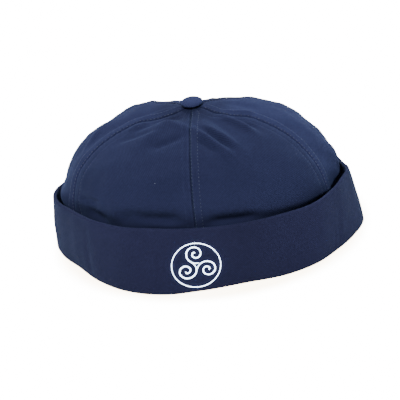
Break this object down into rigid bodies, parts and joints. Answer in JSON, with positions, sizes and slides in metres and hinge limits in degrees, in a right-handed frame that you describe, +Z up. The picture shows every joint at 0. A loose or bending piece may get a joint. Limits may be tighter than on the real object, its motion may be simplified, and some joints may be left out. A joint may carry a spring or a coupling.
{
  "type": "docker beanie",
  "caption": "Brimless docker cap of navy cotton twill: seamed crown, covered button, deep turned-up cuff and a white embroidered triskele in a ring at the front.",
  "frame": {"origin": "on the ground under the middle of the cap's outer box, at the fold that the cuff rests on", "axes": "+Z up towards the button, -Y towards the front of the cap with the embroidery, +X from temple to temple, towards the right in a view of the front"},
  "size_m": [0.2178, 0.1772, 0.1025],
  "materials": {
    "crown_twill": "matte navy cotton twill",
    "cuff_twill": "matte navy cotton twill, folded double",
    "white_thread": "white satin stitch with a soft sheen"
  },
  "bodies": {
    "root": {"cuff": "cuff_twill", "crown_panel_front_right": "crown_twill", "crown_panel_side_right": "crown_twill", "crown_panel_back_right": "crown_twill", "crown_panel_back_left": "crown_twill", "crown_panel_side_left": "crown_twill", "crown_panel_front_left": "crown_twill", "button": "crown_twill", "emblem_ring": "white_thread", "emblem_spiral_top": "white_thread", "emblem_spiral_right": "white_thread", "emblem_spiral_left": "white_thread"}
  },
  "joints": []
}
